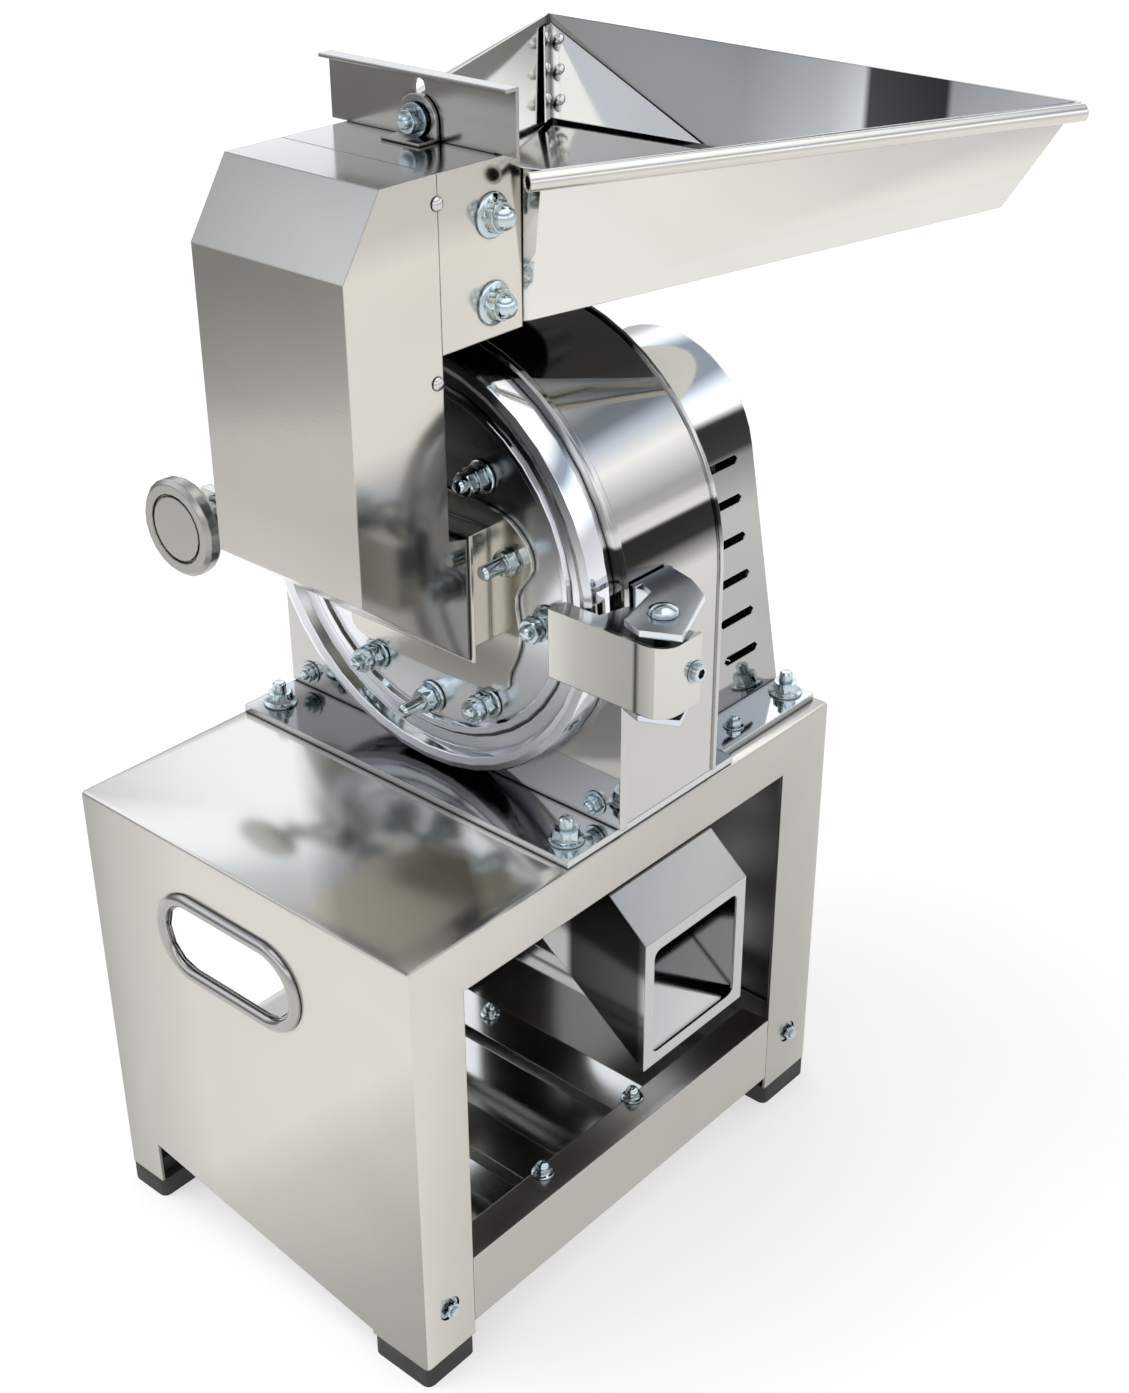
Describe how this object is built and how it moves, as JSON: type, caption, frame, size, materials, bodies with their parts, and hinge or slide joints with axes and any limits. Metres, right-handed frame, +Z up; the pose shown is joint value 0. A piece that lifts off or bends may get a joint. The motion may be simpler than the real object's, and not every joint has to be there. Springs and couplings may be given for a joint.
{
  "type": "spice grinding machine",
  "caption": "Claw mill with a swinging front door, gated feed hopper, ring screen, side discharge chute and a direct-drive motor on a folded steel stand.",
  "frame": {"origin": "middle of the machine's base on the floor", "axes": "+Z up, -Y towards the door and the stand's front panel, +X towards the discharge outlet"},
  "size_m": [0.4554, 0.5498, 0.7761],
  "materials": {
    "satin_steel": "satin stainless sheet",
    "polished_steel": "mirror-polished stainless",
    "zinc_steel": "blue zinc plating",
    "black_rubber": "moulded, matte",
    "cast_aluminium": "as cast",
    "hard_steel": "hardened and ground",
    "copper_winding": "varnished winding",
    "black_plastic": "moulded, matte"
  },
  "bodies": {
    "base": {"stand_shell": "satin_steel", "front_handle_ring": "satin_steel", "rear_handle_ring": "satin_steel", "side_rail_left": "satin_steel", "side_rail_right": "satin_steel", "crossbar_front": "satin_steel", "crossbar_rear": "satin_steel", "bottom_tray": "satin_steel", "foot_front_left": "black_rubber", "foot_front_right": "black_rubber", "foot_rear_left": "black_rubber", "foot_rear_right": "black_rubber", "base_plate": "satin_steel", "chamber_housing": "polished_steel", "discharge_chute": "satin_steel", "ring_screen": "hard_steel", "shaft_seal": "black_rubber", "motor_base_plate": "satin_steel", "motor_cowl": "satin_steel", "cable_gland": "black_plastic", "motor_frame": "cast_aluminium", "motor_stator": "copper_winding", "motor_front_shield": "cast_aluminium", "motor_rear_shield": "cast_aluminium", "front_bearing": "hard_steel", "rear_bearing": "hard_steel", "hinge_bracket": "polished_steel", "hinge_pin": "zinc_steel", "housing_clamp_lug": "polished_steel"},
    "rotor": {"rotor_shaft": "hard_steel", "rotor_core": "cast_aluminium", "cooling_fan": "black_plastic", "claw_disc": "hard_steel", "disc_nut": "zinc_steel"},
    "door": {"door_plate": "polished_steel", "fixed_claw_ring": "hard_steel", "door_stud_upper_right": "zinc_steel", "door_stud_upper_left": "zinc_steel", "door_stud_inlet_right": "zinc_steel", "door_stud_inlet_left": "zinc_steel", "door_stud_side_right": "zinc_steel", "door_stud_side_left": "zinc_steel", "door_stud_lower_right": "zinc_steel", "door_stud_lower_middle": "zinc_steel", "door_stud_lower_left": "zinc_steel", "inlet_neck": "satin_steel", "hinge_arm": "polished_steel", "feed_box": "satin_steel", "feed_throat": "satin_steel", "gate_tongue": "satin_steel", "gate_bolt": "zinc_steel", "hopper": "satin_steel", "hopper_rim_tube": "satin_steel", "hopper_corner_left": "polished_steel", "hopper_corner_right": "polished_steel", "door_clamp_lug": "polished_steel"},
    "gate": {"feed_gate": "satin_steel"},
    "clamp_slide": {"thrust_washer": "zinc_steel"},
    "clamp_turn": {"clamp_knob": "satin_steel"}
  },
  "joints": [
    {"name": "door_swing", "type": "hinge", "parent": "base", "child": "door", "pos_m": [0.18336, -0.09213, 0.472], "axis": [0, 0, 1], "range_deg": [0, 110]},
    {"name": "gate_slide", "type": "slide", "parent": "door", "child": "gate", "axis": [0, 0, 1], "range_m": [0, 0.058]},
    {"name": "clamp_slide", "type": "slide", "parent": "door", "child": "clamp_slide", "axis": [0, -1, 0], "range_m": [0, 0.012]},
    {"name": "knob_turn", "type": "hinge", "parent": "clamp_slide", "child": "clamp_turn", "pos_m": [-0.18364, -0.14913, 0.464], "axis": [0, -1, 0], "range_deg": [0, 2880]},
    {"name": "rotor_spin", "type": "hinge", "parent": "base", "child": "rotor", "pos_m": [-0.00264, -0.01213, 0.481], "axis": [0, 1, 0], "continuous": true}
  ],
  "couplings": [
    {"joint": "clamp_slide", "follows": "knob_turn", "m_per_rad": 0.00023873}
  ]
}
